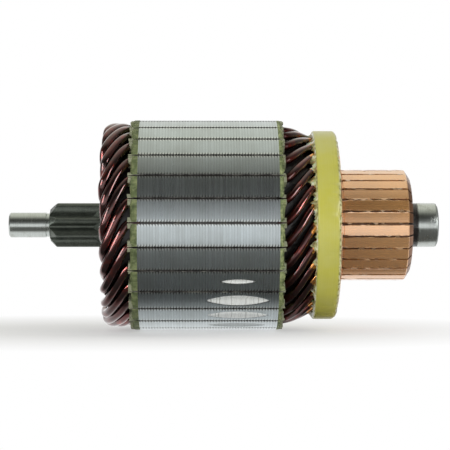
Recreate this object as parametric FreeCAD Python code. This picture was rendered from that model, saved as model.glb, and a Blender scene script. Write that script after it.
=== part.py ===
# Armature of a geared starter motor: a ground shaft with a sun gear cut on it, a pack of slotted
# steel laminations, a wave winding of hairpins, a moulded commutator and the glass band over its
# risers. Millimetres. The shaft lies along X, the commutator end towards +X, and the origin is the
# middle of the commutator-end journal on the shaft's axis. Angles are right-hand about +X from +Y.
import FreeCAD, Part
import math
import os

V = FreeCAD.Vector
AXIS = V(1, 0, 0)
ORIGIN = V(0, 0, 0)

# shaft, from the commutator end to the drive end
journal_r = 8.0
journal_l = 6.5
journal_chamfer = 1.0
neck_r = 7.8
neck_l = 3.0
commutator_seat_r = 8.5
core_seat_r = 9.0
collar_r = 9.6
collar_l = 13.7
gear_l = 19.0
pilot_r = 4.5
pilot_l = 14.7
pilot_chamfer = 0.5
centre_r = 1.6
centre_drill_r = 0.6
centre_drill_l = 1.5
centre_angle = 30.0

# sun gear on the shaft
gear_teeth = 8
gear_module = 1.5
gear_shift = 0.55
gear_tip_r = 8.2
gear_pressure_angle = 20.0
gear_root_clearance = 0.25
gear_end_r = 5.6
gear_crest_angle = 165.1

# lamination stack
core_r = 38.0
lamination_t = 1.0
lamination_count = 49
slot_count = 28
slot_angle = 178.9
slot_w = 3.7
slot_opening = 1.0
slot_lip = 1.1
slot_shoulder_depth = 1.6
slot_depth = 9.6

# balance cuts on four neighbouring tooth tips: (tooth after slot 0, share of the full depth)
balance_cuts = ((2, 0.33), (3, 1.0), (4, 1.0), (5, 0.9))
balance_cut_depth = 1.0
balance_from_core_end = 13.6
cutter_r = 63.0
cutter_rim_h = 2.0
cutter_rim_angle = 68.5

# fibre insulators at the core's ends, and slot liners
drive_insulator_t = 2.4
drive_insulator_inset = 0.05
commutator_insulator_t = 1.4
commutator_insulator_inset = 0.1
insulator_slot_w = 4.0
insulator_bore_gap = 0.3
liner_t = 0.2
liner_past_core = 0.3

# winding: hairpins of round wire, drawn with six flats of the same section area. The counts are
# in slot pitches: between a hairpin's legs, and the lean of each leg on its way to the commutator
wire_d = 3.0
wire_flats = 6
coil_pitch_count = 5
top_lean_count = 2.5
bottom_lean_count = 1.5
top_wire_depth = 3.6
layer_distance = 4.0
nose_rise = 0.6
top_bulge = 1.0
drive_overhang = 11.3
nose_depth = 1.2
nose_half_angle = 6.4
bend_outside_insulator = 1.0
commutator_overhang = 15.1
commutator_bulge = 0.4
bend_before_riser = 0.9

# press-paper cuffs between the two winding layers
cuff_t = 0.15
cuff_gap = 0.1
drive_cuff_l = 6.6
commutator_cuff_l = 8.2

# commutator
commutator_l = 31.6
track_r = 20.0
bar_depth = 3.2
bar_end_h = 0.5
bevel_l = 1.9
riser_l = 5.3
riser_r = 31.1
bar_gap = 0.6
claw_depth = 3.4
claw_inset = 4.4
claw_hook = 2.0
riser_slot_gap = 0.3
wire_short_of_riser = 0.1

# moulding that grips the bars' claws, made straight on to the shaft
moulding_setback = 0.3

# mica sheets between the bars
mica_undercut = 0.6
mica_base_gap = 0.1
mica_riser_inset = 1.1

# glass band wound over the risers and wire ends
band_w = 8.3
band_t = 3.0
band_setback = 0.3
band_clearance = 0.05
band_corner = 1.1

# how far cutting shapes reach past what they cut
margin = 1.0

# stations along X, worked out from the lengths above
pitch = 360.0 / slot_count
x_shaft_end = journal_l / 2 + journal_chamfer
x_neck = -journal_l / 2
x_commutator_out = x_neck - neck_l
x_commutator_in = x_commutator_out - commutator_l
x_riser_out = x_commutator_in + riser_l
x_commutator_insulator = x_commutator_in - commutator_overhang
x_core_hi = x_commutator_insulator - commutator_insulator_t
x_core_lo = x_core_hi - lamination_t * lamination_count
x_drive_insulator = x_core_lo - drive_insulator_t
x_gear_in = x_core_lo - collar_l
x_gear_out = x_gear_in - gear_l
x_pilot_end = x_gear_out - pilot_l
x_nose = x_drive_insulator - drive_overhang + wire_d / 2

# radii, worked out from the core, the brush track and the risers
slot_shoulder_r = core_r - slot_shoulder_depth
slot_bottom_r = core_r - slot_depth
top_wire_r = core_r - top_wire_depth
bottom_wire_r = top_wire_r - layer_distance
nose_top_r = top_wire_r + nose_rise
bar_base_r = track_r - bar_depth
claw_r = bar_base_r - claw_depth
bevel_h = bar_depth - bar_end_h

# the flats' corner radius that gives the round wire's section area
wire_corner_r = wire_d / 2 * math.sqrt(2 * math.pi / (wire_flats * math.sin(2 * math.pi / wire_flats)))
riser_slot_w = 2 * wire_corner_r + riser_slot_gap
outer_riser_wire_r = riser_r - wire_d / 2
inner_riser_wire_r = outer_riser_wire_r - 2 * wire_corner_r - cuff_gap


def at(x, radius, angle):
    """Point at a station, a radius and an angle in degrees about the shaft."""
    return V(x, radius * math.cos(math.radians(angle)), radius * math.sin(math.radians(angle)))


def turned(outline):
    """Solid turned about the shaft axis from an outline of (x, radius) corners."""
    corners = [V(x, -radius, 0) for x, radius in outline]
    face = Part.Face(Part.makePolygon(corners + corners[:1]))
    return face.revolve(ORIGIN, AXIS, 360)


def ring(x_lo, x_hi, r_in, r_out):
    """Plain sleeve about the shaft."""
    return turned([(x_lo, r_in), (x_hi, r_in), (x_hi, r_out), (x_lo, r_out)])


def turn_copies(master, count, first_angle):
    """Equally spaced copies of a piece that is drawn at angle zero."""
    copies = []
    for index in range(count):
        copy = master.copy()
        copy.rotate(ORIGIN, AXIS, first_angle + index * 360.0 / count)
        copies.append(copy)
    return copies


def gear_half_angle(radius):
    """Half of a gear tooth's angle, in radians, at a radius on its involute flank."""
    pressure = math.radians(gear_pressure_angle)
    pitch_r = gear_module * gear_teeth / 2
    at_pitch = (math.pi / 2 + 2 * gear_shift * math.tan(pressure)) / gear_teeth
    local = math.acos(min(1.0, pitch_r * math.cos(pressure) / radius))
    return at_pitch + (math.tan(pressure) - pressure) - (math.tan(local) - local)


def gear_prism():
    """Straight spur teeth: involute flanks as arcs, radial lines below the base circle."""
    pitch_r = gear_module * gear_teeth / 2
    base_r = pitch_r * math.cos(math.radians(gear_pressure_angle))
    root_r = pitch_r - gear_module * (1 + gear_root_clearance - gear_shift)
    middle_r = (base_r + gear_tip_r) / 2
    step = 360.0 / gear_teeth
    edges = []
    for tooth in range(gear_teeth):
        crest = gear_crest_angle + tooth * step
        flank = {r: math.degrees(gear_half_angle(r)) for r in (base_r, middle_r, gear_tip_r)}
        foot = flank[base_r]

        def point(radius, offset):
            return at(x_gear_out, radius, crest + offset)

        edges.append(Part.makeLine(point(root_r, -foot), point(base_r, -foot)))
        edges.append(Part.Arc(point(base_r, -foot), point(middle_r, -flank[middle_r]),
                              point(gear_tip_r, -flank[gear_tip_r])).toShape())
        edges.append(Part.Arc(point(gear_tip_r, -flank[gear_tip_r]), point(gear_tip_r, 0),
                              point(gear_tip_r, flank[gear_tip_r])).toShape())
        edges.append(Part.Arc(point(gear_tip_r, flank[gear_tip_r]), point(middle_r, flank[middle_r]),
                              point(base_r, foot)).toShape())
        edges.append(Part.makeLine(point(base_r, foot), point(root_r, foot)))
        edges.append(Part.Arc(point(root_r, foot), point(root_r, step / 2),
                              point(root_r, step - foot)).toShape())
    face = Part.Face(Part.Wire(Part.__sortEdges__(edges)))
    return face.extrude(V(gear_l, 0, 0)), root_r


def centre_hole(x_face, inward):
    """Outline of a lathe centre from the end face's rim of the hole to the axis."""
    cone_l = (centre_r - centre_drill_r) / math.tan(math.radians(centre_angle))
    x_cone = x_face + inward * cone_l
    x_floor = x_cone + inward * centre_drill_l
    return [(x_face, centre_r), (x_cone, centre_drill_r), (x_floor, centre_drill_r), (x_floor, 0)]


def shaft():
    """Ground shaft with its sun gear, whose tooth gaps run out on a cone at the collar."""
    teeth, root_r = gear_prism()
    blank = turned([
        (x_gear_out, 0),
        (x_gear_out, gear_end_r),
        (x_gear_out + gear_tip_r - gear_end_r, gear_tip_r),
        (x_gear_in, gear_tip_r),
        (x_gear_in, 0),
    ])
    run_out = gear_tip_r - root_r
    body = turned(
        centre_hole(x_pilot_end, 1)[::-1]
        + [
            (x_pilot_end, pilot_r - pilot_chamfer),
            (x_pilot_end + pilot_chamfer, pilot_r),
            (x_gear_in - run_out - root_r + pilot_r, pilot_r),
            (x_gear_in, gear_tip_r),
            (x_gear_in, collar_r),
            (x_core_lo, collar_r),
            (x_core_lo, core_seat_r),
            (x_core_hi, core_seat_r),
            (x_core_hi, commutator_seat_r),
            (x_commutator_out, commutator_seat_r),
            (x_commutator_out, neck_r),
            (x_neck, neck_r),
            (x_neck, journal_r),
            (x_shaft_end - journal_chamfer, journal_r),
            (x_shaft_end, journal_r - journal_chamfer),
        ]
        + centre_hole(x_shaft_end, -1)
    )
    return body.fuse(teeth.common(blank)).removeSplitter()


def profile(x, sides):
    """Face across the shaft, even about angle zero, from its (radius, half width) sides."""
    corners = [V(x, radius, -half) for radius, half in sides]
    corners += [V(x, radius, half) for radius, half in reversed(sides)]
    return Part.Face(Part.makePolygon(corners + corners[:1]))


def slotted_disc(x_lo, x_hi, bore_r, rim_r, sides):
    """Disc or stack with every slot cut through it."""
    disc = ring(x_lo, x_hi, bore_r, rim_r)
    slot = profile(x_lo - margin, sides).extrude(V(x_hi - x_lo + 2 * margin, 0, 0))
    return disc.cut(Part.makeCompound(turn_copies(slot, slot_count, slot_angle)))


def balance_cut(tooth, depth):
    """Blunt-edged milling wheel where it takes a lens out of one tooth tip."""
    half_w = cutter_rim_h * math.tan(math.radians(cutter_rim_angle))
    edge_r = cutter_r - cutter_rim_h
    half = [V(0, 0, half_w), V(edge_r, 0, half_w)]
    rim = half + [V(cutter_r, 0, 0)] + [V(corner.x, 0, -corner.z) for corner in reversed(half)]
    wheel = Part.Face(Part.makePolygon(rim + rim[:1])).revolve(ORIGIN, V(0, 0, 1), 360)
    wheel.translate(V(x_core_hi - balance_from_core_end, core_r - depth + cutter_r, 0))
    wheel.rotate(ORIGIN, AXIS, slot_angle + (tooth + 0.5) * pitch)
    return wheel


def lamination_stack():
    """The pressed pack of laminations, one solid, with its balance cuts."""
    throat = slot_opening / 2
    sides = [(core_r + margin, throat), (core_r - slot_lip, throat),
             (slot_shoulder_r, slot_w / 2), (slot_bottom_r, slot_w / 2)]
    stack = slotted_disc(x_core_lo, x_core_hi, core_seat_r, core_r, sides)
    for tooth, share in balance_cuts:
        stack = stack.cut(balance_cut(tooth, share * balance_cut_depth))
    return stack


def end_insulator(x_lo, x_hi, shaft_r, rim_r):
    """Fibre disc against the core, its slots wide enough for the wires to start their bends."""
    throat = slot_opening / 2
    sides = [(rim_r + margin, throat), (rim_r, throat),
             (slot_shoulder_r, insulator_slot_w / 2), (slot_bottom_r, insulator_slot_w / 2)]
    return slotted_disc(x_lo, x_hi, shaft_r + insulator_bore_gap, rim_r, sides)


def slot_liners():
    """Folded paper liners against the floor and both walls of each slot."""
    half = slot_w / 2
    outer = profile(0, [(slot_shoulder_r, half), (slot_bottom_r, half)])
    inside = half - liner_t
    inner = profile(0, [(slot_shoulder_r + margin, inside), (slot_bottom_r + liner_t, inside)])
    liner = outer.cut(inner).extrude(V(x_core_hi - x_core_lo + 2 * liner_past_core, 0, 0))
    liner.translate(V(x_core_lo - liner_past_core, 0, 0))
    return Part.makeCompound(turn_copies(liner.Solids[0], slot_count, slot_angle))


def end_leg(start, end, shares, bulge):
    """Joints of a leg outside the core. start and end are (x, radius, turn in pitches);
    shares says how far along the leg each joint lies, and bulge lifts its middle."""
    joints = []
    for share in shares:
        x = start[0] + (end[0] - start[0]) * share
        radius = start[1] + (end[1] - start[1]) * share + bulge * math.sin(math.pi * share)
        joints.append((x, radius, start[2] + (end[2] - start[2]) * share))
    return joints


def commutator_legs():
    """Both legs between the core and the risers, each listed from its slot outwards."""
    x_start = x_commutator_insulator + bend_outside_insulator
    x_end = x_commutator_in - bend_before_riser
    top = end_leg((x_start, top_wire_r, 0), (x_end, outer_riser_wire_r, -top_lean_count),
                  (0, 0.35, 0.7, 1), commutator_bulge)
    bottom = end_leg((x_start, bottom_wire_r, coil_pitch_count),
                     (x_end, inner_riser_wire_r, coil_pitch_count + bottom_lean_count), (0, 0.5, 1), 0)
    return top, bottom


def drive_legs():
    """Both legs at the drive end and the nose that joins them, from the top leg to the bottom."""
    x_start = x_drive_insulator - bend_outside_insulator
    x_end = x_nose + nose_depth
    turn = coil_pitch_count / 2 - nose_half_angle / pitch
    top = end_leg((x_start, top_wire_r, 0), (x_end, nose_top_r, turn), (0, 0.33, 0.67, 1), top_bulge)
    bottom = end_leg((x_start, bottom_wire_r, coil_pitch_count),
                     (x_end, bottom_wire_r, coil_pitch_count - turn), (0, 0.5, 1), 0)
    nose = []
    for across in (0.5, -0.5):
        radius = (nose_top_r + bottom_wire_r) / 2 + (nose_top_r - bottom_wire_r) / 2 * across
        nose.append((x_nose, radius, coil_pitch_count / 2 - nose_half_angle / pitch * across))
    return top + nose + bottom[::-1]


def mitred_bar(route):
    """Many-sided bar along straight runs that meet on mitre planes, so that every face is flat."""
    points = [at(x, radius, turn * pitch) for x, radius, turn in route]
    runs = [(b - a).normalize() for a, b in zip(points, points[1:])]
    side = V(0, points[0].y, points[0].z).normalize()
    other = runs[0].cross(side)
    section = []
    for index in range(wire_flats):
        angle = 2 * math.pi * index / wire_flats
        spoke = side * math.cos(angle) + other * math.sin(angle)
        section.append(points[0] + spoke * wire_corner_r)
    sections = [section]
    for index in range(1, len(points)):
        run = runs[index - 1]
        normal = run + runs[index] if index < len(runs) else run
        place = points[index]
        section = [p + run * ((place - p).dot(normal) / run.dot(normal)) for p in section]
        sections.append(section)
    return flat_faced(sections)


def flat_faced(sections):
    """Closed solid through sections with equally many corners, joined by flat faces."""
    faces = [Part.Face(Part.makePolygon(end + end[:1])) for end in (sections[0], sections[-1])]
    count = len(sections[0])
    for near, far in zip(sections, sections[1:]):
        for a in range(count):
            b = (a + 1) % count
            faces.append(Part.Face(Part.makePolygon([near[a], near[b], far[b], far[a], near[a]])))
    solid = Part.Solid(Part.Shell(faces))
    solid.fix(1e-7, 1e-7, 1e-7)
    return solid if solid.Volume > 0 else solid.reversed()


def hairpins():
    """The winding's hairpins: riser, top layer, nose, bottom layer, riser, nine bars apart."""
    top, bottom = commutator_legs()
    x_tip = x_riser_out - wire_short_of_riser
    route = [(x_tip, outer_riser_wire_r, -top_lean_count)] + top[::-1] + drive_legs() + bottom
    route.append((x_tip, inner_riser_wire_r, coil_pitch_count + bottom_lean_count))
    return turn_copies(mitred_bar(route), slot_count, slot_angle)


def many_sided(x, radius, first_angle):
    """Corners of a section with one flat for each slot, given the radius to its flats."""
    corner_r = radius / math.cos(math.radians(pitch / 2))
    return [at(x, corner_r, first_angle + index * pitch) for index in range(slot_count)]


def paper_cuff(x_lo, r_lo, x_hi, r_hi):
    """Paper cuff that lies flat from wire to wire, given the radii of its inner flats."""
    inner = [many_sided(x_lo, r_lo, slot_angle), many_sided(x_hi, r_hi, slot_angle)]
    outer = [many_sided(x_lo, r_lo + cuff_t, slot_angle), many_sided(x_hi, r_hi + cuff_t, slot_angle)]
    return flat_faced(outer).cut(flat_faced(inner))


def drive_cuff():
    """Cuff between the layers at the drive end, over the bottom wires."""
    radius = bottom_wire_r + wire_corner_r + cuff_gap
    x_hi = x_drive_insulator - bend_outside_insulator
    return paper_cuff(x_hi - drive_cuff_l, radius, x_hi, radius)


def commutator_cuff():
    """Cone between the layers at the commutator end, over the bottom wires."""
    bottom = commutator_legs()[1]
    slope = (bottom[-1][1] - bottom[0][1]) / (bottom[-1][0] - bottom[0][0])
    stand_off = wire_corner_r * math.sqrt(1 + slope * slope) + 2 * cuff_gap
    x_lo = bottom[0][0]
    x_hi = x_lo + commutator_cuff_l
    r_lo = bottom[0][1] + stand_off
    return paper_cuff(x_lo, r_lo, x_hi, r_lo + slope * commutator_cuff_l)


def bar_claws(x_lo, x_hi):
    """Underside of a bar in section: the flat base and the foot with its two hooked claws."""
    return [
        (x_lo, bar_base_r),
        (x_commutator_in + claw_inset + claw_hook, bar_base_r),
        (x_commutator_in + claw_inset, claw_r),
        (x_commutator_out - claw_inset, claw_r),
        (x_commutator_out - claw_inset - claw_hook, bar_base_r),
        (x_hi, bar_base_r),
    ]


def commutator_bar():
    """One bar at angle zero: clawed foot, turned track, bevel and slotted riser."""
    half_pitch = math.radians(pitch / 2)
    x_lo = x_commutator_in
    x_hi = x_commutator_out
    riser_top = riser_r * math.cos(half_pitch)
    bevel_run = bevel_l * (riser_top - track_r + bevel_h) / bevel_h
    outline = bar_claws(x_lo, x_hi) + [
        (x_hi, track_r - bevel_h),
        (x_hi - bevel_run, riser_top),
        (x_lo, riser_top),
    ]
    side = [V(x, radius, -riser_r) for x, radius in outline]
    plate = Part.Face(Part.makePolygon(side + side[:1])).extrude(V(0, 0, 2 * riser_r))

    def half_width(radius):
        return radius * math.tan(half_pitch) - bar_gap / 2 / math.cos(half_pitch)

    low = claw_r - margin
    high = riser_r + margin
    wedge = profile(x_lo - margin, [(low, half_width(low)), (high, half_width(high))])
    wedge = wedge.extrude(V(commutator_l + 2 * margin, 0, 0))
    outside = ring(x_riser_out, x_hi + margin, track_r, high)
    slot_floor_r = inner_riser_wire_r - wire_corner_r - cuff_gap
    slot_corner = V(x_lo - margin, slot_floor_r, -riser_slot_w / 2)
    slot = Part.makeBox(riser_l + 2 * margin, riser_r, riser_slot_w, slot_corner)
    return plate.common(wedge).cut(outside).cut(slot)


def commutator_bars():
    """All the bars, a half pitch off the slots."""
    copies = turn_copies(commutator_bar(), slot_count, slot_angle + pitch / 2)
    return Part.makeCompound(copies)


def commutator_moulding():
    """Phenolic body in the bore of the bars, moulded round their claws flat for flat."""
    outline = bar_claws(x_commutator_in + moulding_setback, x_commutator_out - moulding_setback)
    body = flat_faced([many_sided(x, radius, slot_angle) for x, radius in outline])
    length = x_commutator_out - x_commutator_in
    return body.cut(Part.makeCylinder(commutator_seat_r, length, V(x_commutator_in, 0, 0), AXIS))


def mica_separators():
    """Mica sheets between the bars, undercut below the track and the bevel."""
    base_r = bar_base_r / math.cos(math.radians(pitch / 2)) + mica_base_gap
    top_r = track_r - mica_undercut
    outline = [
        (x_commutator_in, base_r),
        (x_commutator_in, riser_r - mica_riser_inset),
        (x_riser_out - band_setback, riser_r - mica_riser_inset),
        (x_riser_out - band_setback, top_r),
        (x_commutator_out - bevel_l, top_r),
        (x_commutator_out - bevel_l, base_r),
    ]
    side = [V(x, radius, -bar_gap / 2) for x, radius in outline]
    sheet = Part.Face(Part.makePolygon(side + side[:1])).extrude(V(0, 0, bar_gap))
    return Part.makeCompound(turn_copies(sheet, slot_count, slot_angle))


def banding_ring():
    """Resin-bound glass band, flared inside to clear the sloping wires of the top layer."""
    x_hi = x_riser_out - band_setback
    x_lo = x_hi - band_w
    r_in = riser_r + band_clearance
    r_out = r_in + band_t
    body = turned([
        (x_lo, 0),
        (x_lo, r_out),
        (x_hi - band_corner, r_out),
        (x_hi, r_out - band_corner),
        (x_hi, 0),
    ])
    (x_bend, bend_r), (x_next, next_r) = [joint[:2] for joint in reversed(commutator_legs()[0][-2:])]
    slope = (next_r - bend_r) / (x_bend - x_next)
    flare_r = bend_r + slope * (x_bend - x_lo) + wire_corner_r * math.sqrt(1 + slope * slope)
    over_wires = slot_angle + pitch / 2
    bore = [many_sided(x_lo, flare_r + band_clearance, over_wires), many_sided(x_hi, r_in, over_wires)]
    return body.cut(flat_faced(bore))


drive_rim_r = core_r - drive_insulator_inset
commutator_rim_r = core_r - commutator_insulator_inset
pieces = {
    "shaft": shaft(),
    "lamination_stack": lamination_stack(),
    "end_insulator_drive_end": end_insulator(x_drive_insulator, x_core_lo, collar_r, drive_rim_r),
    "end_insulator_commutator_end": end_insulator(x_core_hi, x_commutator_insulator,
                                                  commutator_seat_r, commutator_rim_r),
    "slot_liners": slot_liners(),
    "layer_cuff_drive_end": drive_cuff(),
    "layer_cuff_commutator_end": commutator_cuff(),
    "commutator_bars": commutator_bars(),
    "commutator_moulding": commutator_moulding(),
    "mica_separators": mica_separators(),
    "banding_ring": banding_ring(),
}
for number, hairpin in enumerate(hairpins(), start=1):
    pieces[f"hairpin_{number:02d}"] = hairpin

os.makedirs("parts", exist_ok=True)
for name, piece in pieces.items():
    piece.exportStep(f"parts/{name}.step")
    print(name, len(piece.Solids), round(piece.Volume, 1), piece.isValid())
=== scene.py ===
# The wound armature of a geared starter motor, lying on its core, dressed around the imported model.
# The shaft lies along X. A place on the armature is a station x along the shaft, a radius and an
# angle about the shaft, right-handed about +X from +Y. Lengths are in metres.
import math
import random

import bmesh
import bpy
from mathutils import Matrix, Vector, geometry, noise


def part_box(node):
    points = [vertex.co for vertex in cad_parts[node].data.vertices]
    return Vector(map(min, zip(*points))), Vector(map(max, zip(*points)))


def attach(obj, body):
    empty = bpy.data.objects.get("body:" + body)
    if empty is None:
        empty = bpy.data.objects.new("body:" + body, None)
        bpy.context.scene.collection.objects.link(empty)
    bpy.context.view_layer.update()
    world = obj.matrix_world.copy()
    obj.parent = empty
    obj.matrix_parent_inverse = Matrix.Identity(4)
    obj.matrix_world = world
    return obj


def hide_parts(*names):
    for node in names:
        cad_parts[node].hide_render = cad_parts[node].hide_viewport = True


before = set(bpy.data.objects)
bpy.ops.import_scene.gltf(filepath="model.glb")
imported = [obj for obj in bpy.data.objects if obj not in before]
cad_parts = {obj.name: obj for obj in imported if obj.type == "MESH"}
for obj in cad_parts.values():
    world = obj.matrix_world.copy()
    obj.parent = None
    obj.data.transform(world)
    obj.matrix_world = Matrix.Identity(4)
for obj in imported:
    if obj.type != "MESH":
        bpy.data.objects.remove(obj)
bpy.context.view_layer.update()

# Shaft: one bar of steel, turned and ground between centres. Its pilot and journal run in bearings
# and stay bright; the middle is hidden in the core and the commutator.
mm = 0.001
slots = 28
pitch = math.tau / slots
first_slot = math.radians(178.9)
shaft_low, shaft_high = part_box("shaft")
core_low, core_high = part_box("lamination_stack")
bars_low, bars_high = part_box("commutator_bars")
journal_r = 8.0 * mm
journal_shoulder_x = -3.25 * mm
neck_r = 7.8 * mm
core_seat_r = 9.0 * mm
commutator_seat_r = 8.5 * mm
pilot_r = 4.5 * mm
pilot_groove_r = pilot_r - 0.25 * mm
gear_in_x = core_low.x - 13.7 * mm
gear_out_x = gear_in_x - 19.0 * mm
gear_tip_r = 8.2 * mm
centre_r = 1.6 * mm
centre_depth = 3.2 * mm


def turned(outline, closed=False, steps=128):
    """Shape turned about the shaft's axis from corners (x, radius)."""
    bm = bmesh.new()
    corners = [bm.verts.new((x, radius, 0)) for x, radius in outline]
    edges = [bm.edges.new(pair) for pair in zip(corners, corners[1:])]
    if closed:
        edges.append(bm.edges.new((corners[-1], corners[0])))
    bmesh.ops.spin(bm, geom=corners + edges, cent=(0, 0, 0), axis=(1, 0, 0), angle=math.tau,
                   steps=steps, use_merge=True)
    bmesh.ops.remove_doubles(bm, verts=bm.verts[:], dist=0.001 * mm)
    bmesh.ops.recalc_face_normals(bm, faces=bm.faces[:])
    return bm


def add_object(name, data):
    """New object in the scene, at the origin."""
    made = bpy.data.objects.new(name, data)
    bpy.context.scene.collection.objects.link(made)
    return made


def add_piece(bm, name, material, stands_for=(), crease=32):
    """Makes the finished piece, smooth but for edges that turn by more than the crease in degrees."""
    bmesh.ops.recalc_face_normals(bm, faces=bm.faces[:])
    mesh = bpy.data.meshes.new(name)
    bm.to_mesh(mesh)
    bm.free()
    mesh.shade_smooth()
    mesh.set_sharp_from_angle(angle=math.radians(crease))
    mesh.materials.append(material)
    piece = add_object(name, mesh)
    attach(piece, "root")
    if stands_for:
        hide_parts(*stands_for)


def node(tree, kind, inputs=None, **settings):
    """Shader node with its settings, its inputs given as values or as sockets to link."""
    made = tree.nodes.new(kind)
    for name, value in settings.items():
        setattr(made, name, value)
    for name, value in (inputs or {}).items():
        if isinstance(value, bpy.types.NodeSocket):
            tree.links.new(value, made.inputs[name])
        else:
            made.inputs[name].default_value = value
    return made


def shader_group(name, numbers, outputs):
    """Empty node group that takes a Place and numbers, and gives numbers."""
    tree = bpy.data.node_groups.new(name, "ShaderNodeTree")
    tree.interface.new_socket("Place", in_out="INPUT", socket_type="NodeSocketVector")
    for side, labels in (("INPUT", numbers), ("OUTPUT", outputs)):
        for label in labels:
            tree.interface.new_socket(label, in_out=side, socket_type="NodeSocketFloat")
    return tree, tree.nodes.new("NodeGroupInput").outputs, tree.nodes.new("NodeGroupOutput").inputs


def use_group(tree, group, inputs):
    """Places a node group in a material."""
    return node(tree, "ShaderNodeGroup", inputs, node_tree=group).outputs


def new_finish(name, metallic, roughness, coat=0.0, coat_roughness=0.1, specular=0.5):
    """Material with its plain values set, and its tree, shader sockets and Object coordinates."""
    material = bpy.data.materials.new(name)
    material.use_nodes = True
    tree = material.node_tree
    shader = tree.nodes["Principled BSDF"].inputs
    shader["Metallic"].default_value = metallic
    shader["Roughness"].default_value = roughness
    shader["Coat Weight"].default_value = coat
    shader["Coat Roughness"].default_value = coat_roughness
    shader["Specular IOR Level"].default_value = specular
    place = tree.nodes.new("ShaderNodeTexCoord").outputs["Object"]
    return material, tree, shader, place


def ramp(tree, value, stops):
    """Colour ramp over a value from its (position, colour) stops."""
    made = node(tree, "ShaderNodeValToRGB", {"Fac": value})
    band = made.color_ramp.elements
    for spare in range(len(stops) - 2):
        band.new(0.5)
    for stop, (position, colour) in zip(band, stops):
        stop.position = position
        stop.color = (*colour, 1)
    return made.outputs["Color"]


def math_node(tree, operation, first, second=0.0):
    """Value worked out from two others."""
    return node(tree, "ShaderNodeMath", {0: first, 1: second}, operation=operation).outputs[0]


def remap(tree, value, low, high, to_low=0.0, to_high=1.0):
    """Value moved from one range to another and held inside it."""
    limits = {"Value": value, "From Min": low, "From Max": high, "To Min": to_low, "To Max": to_high}
    return node(tree, "ShaderNodeMapRange", limits).outputs["Result"]


def mixed(tree, share, first, second):
    """Two colours blended by a share."""
    made = node(tree, "ShaderNodeMix", data_type="RGBA")
    for socket, value in zip((made.inputs[0], made.inputs[6], made.inputs[7]), (share, first, second)):
        if isinstance(value, bpy.types.NodeSocket):
            tree.links.new(value, socket)
        else:
            socket.default_value = value if isinstance(value, float) else (*value, 1)
    return made.outputs[2]


def times(tree, first, second):
    """Product of two values."""
    return math_node(tree, "MULTIPLY", first, second)


def noise_node(tree, place, scale, detail=2.0, roughness=0.5):
    """Cloudy value in space, near 0.5 on average."""
    inputs = {"Vector": place, "Scale": scale, "Detail": detail, "Roughness": roughness}
    return node(tree, "ShaderNodeTexNoise", inputs).outputs["Fac"]


def station(tree, place):
    """A place's station along the shaft."""
    return node(tree, "ShaderNodeSeparateXYZ", {"Vector": place}).outputs["X"]


def add_bump(tree, shader, height, strength, depth):
    """Bumps on a material's surface after a height, over the bumps that it already has."""
    bump = node(tree, "ShaderNodeBump", {"Height": height, "Strength": strength, "Distance": depth})
    for link in shader["Normal"].links:
        tree.links.new(link.from_socket, bump.inputs["Normal"])
    tree.links.new(bump.outputs[0], shader["Normal"])


# Marks left all round by a turning tool or a grinding wheel: they change along the shaft and
# hardly round it.
turning_lines, given, result = shader_group("turning_lines", ["Lines per metre", "Wander"], ["Lines"])
tree = turning_lines
along = station(tree, given["Place"])
drift = noise_node(tree, given["Place"], 180.0)
counted = times(tree, along, given["Lines per metre"])
shifted = times(tree, drift, given["Wander"])
lines = node(tree, "ShaderNodeTexNoise",
             {"W": math_node(tree, "ADD", counted, shifted), "Scale": 1.0, "Detail": 3.0},
             noise_dimensions="1D").outputs["Fac"]
tree.links.new(lines, result["Lines"])


def tool_marks(tree, place, per_metre, wander):
    """The turning lines in a material."""
    inputs = {"Place": place, "Lines per metre": per_metre, "Wander": wander}
    return use_group(tree, turning_lines, inputs)["Lines"]


# Stains, smears and cloudy patches.
patches, given, result = shader_group("patches", ["Size", "From", "To"], ["Patches"])
cloud = noise_node(patches, given["Place"], given["Size"], 5.0, 0.6)
patches.links.new(remap(patches, cloud, given["From"], given["To"]), result["Patches"])


def stains(tree, place, size, low, high):
    """The patches in a material."""
    inputs = {"Place": place, "Size": size, "From": low, "To": high}
    return use_group(tree, patches, inputs)["Patches"]


ground_steel, tree, shader, place = new_finish("ground_steel", 1.0, 0.22)
marks = tool_marks(tree, place, 5200.0, 0.8)
stain = stains(tree, place, 260.0, 0.5, 0.72)
steel_tone = ramp(tree, marks, [(0.3, (0.46, 0.49, 0.47)), (0.7, (0.64, 0.68, 0.66))])
stained = mixed(tree, times(tree, stain, 0.45), steel_tone, (0.30, 0.30, 0.25))
along = station(tree, place)
# The end chamfer is made rougher and painted darker; the darkening is painted shade for its dark reflection.
rough_painted_dark_end = remap(tree, along, shaft_high.x - 1.0 * mm, shaft_high.x - 0.7 * mm)
tree.links.new(mixed(tree, times(tree, rough_painted_dark_end, 0.6), stained, (0.16, 0.17, 0.16)), shader["Base Color"])
polish = math_node(tree, "ADD", remap(tree, marks, 0.3, 0.7, 0.15, 0.26), times(tree, stain, 0.12))
tree.links.new(math_node(tree, "ADD", polish, times(tree, rough_painted_dark_end, 0.2)), shader["Roughness"])
add_bump(tree, shader, marks, 0.35, 0.01 * mm)

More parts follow.
